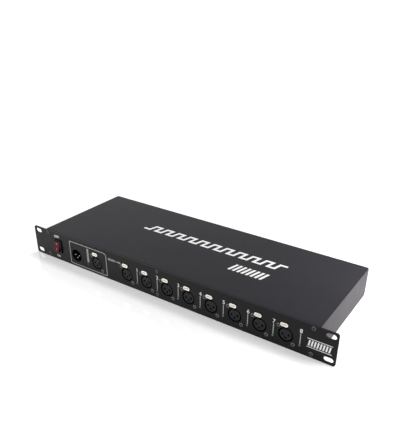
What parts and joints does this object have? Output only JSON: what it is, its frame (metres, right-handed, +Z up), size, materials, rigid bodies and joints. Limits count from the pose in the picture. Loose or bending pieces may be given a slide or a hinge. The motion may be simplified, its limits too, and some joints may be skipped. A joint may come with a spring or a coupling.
{
  "type": "dmx splitter",
  "caption": "Rack-mount signal splitter for stage lighting: a row of locking round sockets, an input plug, a rocker switch and indicator lamps on a wide black panel, in a shallow case.",
  "frame": {"origin": "centre of the case's underside", "axes": "X along the front panel to the right as seen from the front, +Y to the rear, +Z up"},
  "size_m": [0.4826, 0.1705, 0.044],
  "materials": {
    "panel_paint": "satin black powder coat",
    "case_paint": "fine-textured dark grey powder coat",
    "black_plastic": "satin black",
    "insert_plastic": "matte black",
    "latch_metal": "pale nickel plate",
    "contact_plate": "silver plate",
    "screw_steel": "dark zinc plate",
    "red_plastic": "translucent red",
    "red_lens": "clear red",
    "green_lens": "clear green",
    "board_green": "solder mask",
    "core_steel": "laminated",
    "sleeve": "shrink sleeve",
    "fuse_glass": "clear tube with metal caps"
  },
  "bodies": {
    "case": {"front_panel": "panel_paint", "top_cover": "case_paint", "chassis_tray": "case_paint", "panel_screw_left_upper": "screw_steel", "panel_screw_left_lower": "screw_steel", "panel_screw_middle_upper": "screw_steel", "panel_screw_middle_lower": "screw_steel", "panel_screw_right_upper": "screw_steel", "panel_screw_right_lower": "screw_steel", "input_shell": "black_plastic", "input_insert": "insert_plastic", "input_pin_1": "contact_plate", "input_pin_2": "contact_plate", "input_pin_3": "contact_plate", "thru_shell": "black_plastic", "thru_insert": "insert_plastic", "output_1_shell": "black_plastic", "output_1_insert": "insert_plastic", "output_2_shell": "black_plastic", "output_2_insert": "insert_plastic", "output_3_shell": "black_plastic", "output_3_insert": "insert_plastic", "output_4_shell": "black_plastic", "output_4_insert": "insert_plastic", "output_5_shell": "black_plastic", "output_5_insert": "insert_plastic", "output_6_shell": "black_plastic", "output_6_insert": "insert_plastic", "output_7_shell": "black_plastic", "output_7_insert": "insert_plastic", "output_8_shell": "black_plastic", "output_8_insert": "insert_plastic", "signal_led": "red_lens", "output_led_1": "green_lens", "output_led_2": "green_lens", "output_led_3": "green_lens", "output_led_4": "green_lens", "output_led_5": "green_lens", "output_led_6": "green_lens", "output_led_7": "green_lens", "output_led_8": "green_lens", "switch_housing": "black_plastic", "mains_inlet": "black_plastic", "signal_board": "board_green", "power_board": "board_green", "power_transformer": "core_steel", "filter_capacitor": "sleeve"},
    "rocker": {"switch_rocker": "red_plastic"},
    "thru_push_tab": {"thru_latch": "latch_metal"},
    "output_1_push_tab": {"output_1_latch": "latch_metal"},
    "output_2_push_tab": {"output_2_latch": "latch_metal"},
    "output_3_push_tab": {"output_3_latch": "latch_metal"},
    "output_4_push_tab": {"output_4_latch": "latch_metal"},
    "output_5_push_tab": {"output_5_latch": "latch_metal"},
    "output_6_push_tab": {"output_6_latch": "latch_metal"},
    "output_7_push_tab": {"output_7_latch": "latch_metal"},
    "output_8_push_tab": {"output_8_latch": "latch_metal"},
    "drawer": {"fuse_drawer": "insert_plastic", "fuse": "fuse_glass"}
  },
  "joints": [
    {"name": "rocker_tilt", "type": "hinge", "parent": "case", "child": "rocker", "pos_m": [-0.19272, -0.0822, 0.0228], "axis": [1, 0, 0], "range_deg": [0, 24]},
    {"name": "thru_push", "type": "slide", "parent": "case", "child": "thru_push_tab", "axis": [0, 1, 0], "range_m": [0, 0.002], "stiffness_N_per_m": 400},
    {"name": "output_1_push", "type": "slide", "parent": "case", "child": "output_1_push_tab", "axis": [0, 1, 0], "range_m": [0, 0.002], "stiffness_N_per_m": 400},
    {"name": "output_2_push", "type": "slide", "parent": "case", "child": "output_2_push_tab", "axis": [0, 1, 0], "range_m": [0, 0.002], "stiffness_N_per_m": 400},
    {"name": "output_3_push", "type": "slide", "parent": "case", "child": "output_3_push_tab", "axis": [0, 1, 0], "range_m": [0, 0.002], "stiffness_N_per_m": 400},
    {"name": "output_4_push", "type": "slide", "parent": "case", "child": "output_4_push_tab", "axis": [0, 1, 0], "range_m": [0, 0.002], "stiffness_N_per_m": 400},
    {"name": "output_5_push", "type": "slide", "parent": "case", "child": "output_5_push_tab", "axis": [0, 1, 0], "range_m": [0, 0.002], "stiffness_N_per_m": 400},
    {"name": "output_6_push", "type": "slide", "parent": "case", "child": "output_6_push_tab", "axis": [0, 1, 0], "range_m": [0, 0.002], "stiffness_N_per_m": 400},
    {"name": "output_7_push", "type": "slide", "parent": "case", "child": "output_7_push_tab", "axis": [0, 1, 0], "range_m": [0, 0.002], "stiffness_N_per_m": 400},
    {"name": "output_8_push", "type": "slide", "parent": "case", "child": "output_8_push_tab", "axis": [0, 1, 0], "range_m": [0, 0.002], "stiffness_N_per_m": 400},
    {"name": "drawer_pull", "type": "slide", "parent": "case", "child": "drawer", "axis": [0, 1, 0], "range_m": [0, 0.018]}
  ]
}
